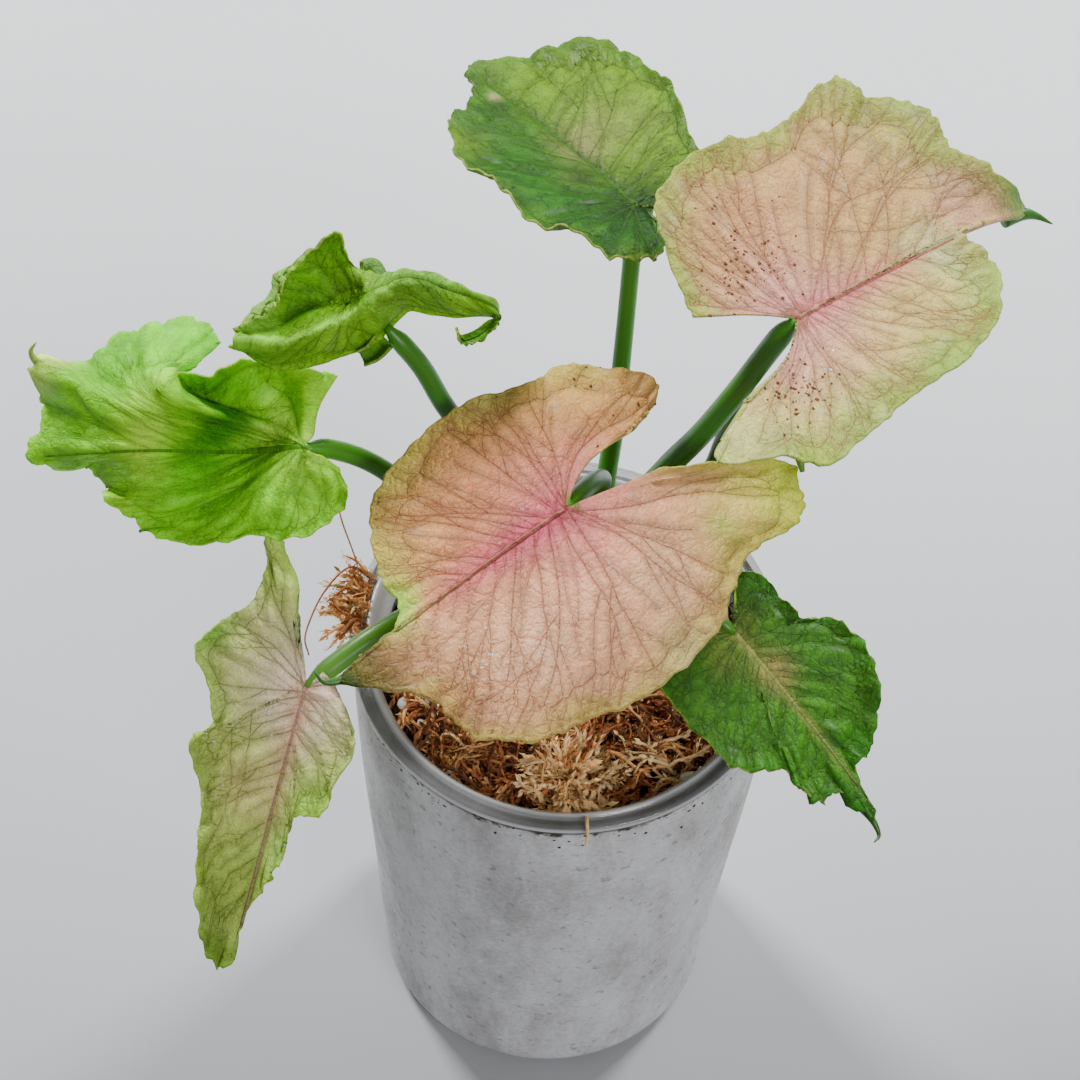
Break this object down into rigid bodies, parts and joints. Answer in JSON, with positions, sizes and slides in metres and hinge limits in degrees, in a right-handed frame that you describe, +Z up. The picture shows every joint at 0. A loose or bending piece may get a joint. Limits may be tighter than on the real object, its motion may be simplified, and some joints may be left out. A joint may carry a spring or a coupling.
{
  "type": "potted red yami syngonium",
  "caption": "Potted arrowhead plant with pink and green arrow-shaped leaves on slim petioles, in moss in a clear cup that hangs in a speckled grey pot.",
  "frame": {"origin": "middle of the outer pot's flat base, on the surface that it stands on", "axes": "+Z up the pot, +X to the right of the plant's front, +Y away from someone who looks at its front"},
  "size_m": [0.2002, 0.1834, 0.2175],
  "materials": {
    "pot_grey": "matt grey with fine pale and dark speckles, like cast stone",
    "cup_clear": "clear thin plastic, glossy, a little scuffed",
    "moss": "loose damp sphagnum moss, tan to dark brown",
    "stem_green": "smooth waxy green stem",
    "leaf_pink": "waxy leaf, dusky pink with fine darker veins and a green rim",
    "leaf_green": "waxy leaf, mid green with yellow-green patches and fine veins"
  },
  "bodies": {
    "root": {"outer_pot": "pot_grey", "nursery_cup": "cup_clear", "moss_bed": "moss", "stem": "stem_green", "leaf_top": "leaf_green", "leaf_right": "leaf_pink", "leaf_centre": "leaf_pink", "leaf_lower_left": "leaf_green", "leaf_lower_right": "leaf_green", "leaf_left": "leaf_green", "leaf_upper_left": "leaf_green", "young_leaf": "stem_green"}
  },
  "joints": []
}
